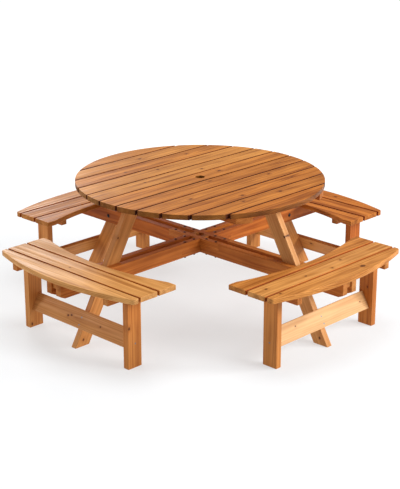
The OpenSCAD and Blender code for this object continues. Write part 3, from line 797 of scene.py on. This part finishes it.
def nut_body(tree, given):
    """A washer with a chamfered hexagon nut on it, bored for the bolt."""
    washer = disc(tree, given["Washer radius"], given["Washer thickness"], 40)
    hexagon = raised(tree, disc(tree, given["Nut radius"], given["Nut height"], 6), given["Washer thickness"])
    ball_r = math_node(tree, "MULTIPLY", given["Nut radius"], 1.22)
    ball = add(tree, "GeometryNodeMeshUVSphere", {"Radius": ball_r}, Segments=48, Rings=48).outputs[0]
    half_up = math_node(tree, "MULTIPLY_ADD", given["Nut height"], 0.35, given["Washer thickness"])
    hexagon = both_of(tree, "INTERSECT", hexagon, raised(tree, ball, half_up))
    whole = both_of(tree, "UNION", washer, hexagon)
    deep = math_node(tree, "MULTIPLY", given["Nut height"], 4.0)
    bore = disc(tree, given["Bore radius"], deep, 24)
    bore = raised(tree, bore, math_node(tree, "MULTIPLY", given["Nut height"], -1.0))
    return both_of(tree, "DIFFERENCE", whole, bore)


nut_sizes = ("Washer radius", "Washer thickness", "Nut radius", "Nut height", "Bore radius")
nut_tree = fastener_tree("Nuts and washers", nut_sizes, nut_body, None)
cad_nuts = bmesh.new()
cad_nuts.from_mesh(nodes["nuts_and_washers"].data)
bmesh.ops.remove_doubles(cad_nuts, verts=cad_nuts.verts, dist=weld)
cad_nut_parts = loose_parts(cad_nuts)
all_nuts = bmesh.new()
for bolt_name, places in bolt_places.items():
    nut_places = []
    for bolt in places:
        seat, direction = bolt["seat"], bolt["direction"]
        tail = seat + direction * bolt["length"]
        nut = min(cad_nut_parts, key=lambda part: (Vector(part_middle(part)) - tail).length)
        reach = [(vert.co - seat).dot(direction) for vert in nut]
        nut_places.append({"seat": seat + direction * min(reach), "direction": direction, "length": 0.0})
    # The last nut of the set gives the sizes of them all.
    wide = [(vert.co - seat - direction * r).length for vert, r in zip(nut, reach)]
    levels = sorted({round(r - min(reach), 4) for r in reach})
    washer_t, nut_top = levels[1], levels[-1]
    nut_end = [w for r, w in zip(reach, wide) if max(reach) - r < 0.0001]
    nuts = grown(bolt_name + "_nuts", nut_tree, black_steel, seats_mesh(bolt_name + "_nut_seats", nut_places),
                 washer_radius=max(wide), washer_thickness=washer_t, nut_radius=max(nut_end),
                 nut_height=nut_top - washer_t, bore_radius=min(nut_end))
    all_nuts.from_mesh(nuts.data)
    bpy.data.objects.remove(nuts)
cad_nuts.free()
nut_mesh = bpy.data.meshes.new("nuts_and_washers_turned")
all_nuts.to_mesh(nut_mesh)
all_nuts.free()
nut_mesh.materials.append(black_steel)
nuts = bpy.data.objects.new("nuts_and_washers_turned", nut_mesh)
bpy.context.scene.collection.objects.link(nuts)
hand_in(nuts, "black_steel", "nuts_and_washers")


def countersunk_head(tree, given):
    """A cone, level with the timber at z = 0, with a cross recess sunk in its face."""
    head = add(tree, "GeometryNodeMeshCone", {"Radius Bottom": given["Head radius"],
                                              "Radius Top": given["Shank radius"],
                                              "Depth": given["Head height"]}, Vertices=32).outputs[0]
    long = math_node(tree, "MULTIPLY", given["Head radius"], 1.1)
    thin = math_node(tree, "MULTIPLY", given["Head radius"], 0.24)
    deep = math_node(tree, "MULTIPLY", given["Head height"], 1.3)
    for x, y in ((long, thin), (thin, long)):
        size = add(tree, "ShaderNodeCombineXYZ", {0: x, 1: y, 2: deep})
        slot = add(tree, "GeometryNodeMeshCube", {"Size": size.outputs[0]}).outputs[0]
        head = both_of(tree, "DIFFERENCE", head, slot)
    return head


def pointed_shank(tree, given):
    """A rod of unit length from z = 0 that ends in a point."""
    tip_share = 0.14
    rod = disc(tree, given["Shank radius"], 1 - tip_share * 0.99, 20)
    tip_r = math_node(tree, "MULTIPLY", given["Shank radius"], 0.999)
    tip = add(tree, "GeometryNodeMeshCone", {"Radius Bottom": tip_r}, Vertices=20, Radius_Top=0.0,
              Depth=tip_share)
    return both_of(tree, "UNION", rod, raised(tree, tip.outputs[0], 1 - tip_share))


screw_tree = fastener_tree("Wood screws", bolt_sizes, countersunk_head, pointed_shank)
screw_places = turned_parts("wood_screws")
screw = screw_places[0]
cone_h = screw["head_r"] - screw["shank_r"]
screws = grown("wood_screws_turned", screw_tree, metal("passivated_steel", 0.2, 0.4),
               seats_mesh("screw_seats", screw_places), head_radius=screw["head_r"], head_height=cone_h,
               shank_radius=screw["shank_r"], shank_start=cone_h * 0.9)
hand_in(screws, "screw_steel", "wood_screws")

# ---------------------------------------------------------------- floor, light and camera
# A wide pale floor that glows more further out, in a white surround, and five large soft lamps: a key
# from the right, one in front, one overhead and two weaker ones behind.

bpy.context.scene.view_settings.view_transform = "Standard"
surround = bpy.data.worlds.new("surround")
bpy.context.scene.world = surround
surround.use_nodes = True
sky = surround.node_tree.nodes["Background"].inputs
sky[0].default_value = (1, 1, 1, 1)
sky_light = 0.32            # how strongly the surround lights the table; seen straight it is white
seen = add(surround.node_tree, "ShaderNodeLightPath").outputs["Is Camera Ray"]
strength = math_node(surround.node_tree, "MULTIPLY_ADD", seen, 1 - sky_light, sky_light)
surround.node_tree.links.new(strength, sky[1])

floor_mesh = bpy.data.meshes.new("floor")
half_floor = 40.0
floor_corners = [(x * half_floor, y * half_floor, 0) for x, y in ((-1, -1), (1, -1), (1, 1), (-1, 1))]
floor_mesh.from_pydata(floor_corners, [], [(0, 1, 2, 3)])
floor = bpy.data.objects.new("floor", floor_mesh)
bpy.context.scene.collection.objects.link(floor)
paper = bpy.data.materials.new("pale_floor")
paper.use_nodes = True
sheet = paper.node_tree.nodes["Principled BSDF"].inputs
sheet["Base Color"].default_value = (0.34, 0.35, 0.36, 1)
sheet["Roughness"].default_value = 0.9
sheet["Specular IOR Level"].default_value = 0.1
sheet["Emission Color"].default_value = (1, 1, 1, 1)
ground = add(paper.node_tree, "ShaderNodeTexCoord").outputs["Object"]
away = add(paper.node_tree, "ShaderNodeVectorMath", {0: ground}, operation="LENGTH").outputs["Value"]
glow = between(paper.node_tree, away, 1.2, 5.0, 0.57, 0.88)
paper.node_tree.links.new(glow, sheet["Emission Strength"])
floor_mesh.materials.append(paper)


def lamp(name, place, size, power):
    """A square area light that faces the table."""
    light = bpy.data.lights.new(name, "AREA")
    light.shape = "SQUARE"
    light.size = size
    light.energy = power
    lamp_object = bpy.data.objects.new(name, light)
    lamp_object.location = place
    lamp_object.rotation_mode = "QUATERNION"
    lamp_object.rotation_quaternion = (Vector((0, 0, 0.3)) - Vector(place)).to_track_quat("-Z", "Y")
    bpy.context.scene.collection.objects.link(lamp_object)


lamp("key", (4.7, -4.9, 3.4), 2.4, 340)
lamp("front", (2.0, -6.3, 3.5), 2.4, 280)
lamp("overhead", (0, 0, 5.5), 3.0, 135)
lamp("back_left", (-5.0, 4.5, 2.6), 2.4, 130)
lamp("back", (2.5, 6.0, 3.0), 2.4, 180)

camera_bearing = math.radians(-45.75)     # 0 looks along +Y
camera_tilt = math.radians(19.27)         # downwards
camera_reach = 6.77                       # from the table's axis
camera_height = 2.6935
half_view = math.radians(10.567)          # half of the picture's height
camera_data = bpy.data.cameras.new("camera")
camera_data.sensor_fit = "VERTICAL"
camera_data.angle = 2 * half_view
camera = bpy.data.objects.new("camera", camera_data)
camera.location = (math.sin(camera_bearing) * camera_reach, -math.cos(camera_bearing) * camera_reach,
                   camera_height)
camera.rotation_euler = (math.pi / 2 - camera_tilt, 0, camera_bearing)
bpy.context.scene.collection.objects.link(camera)
bpy.context.scene.camera = camera
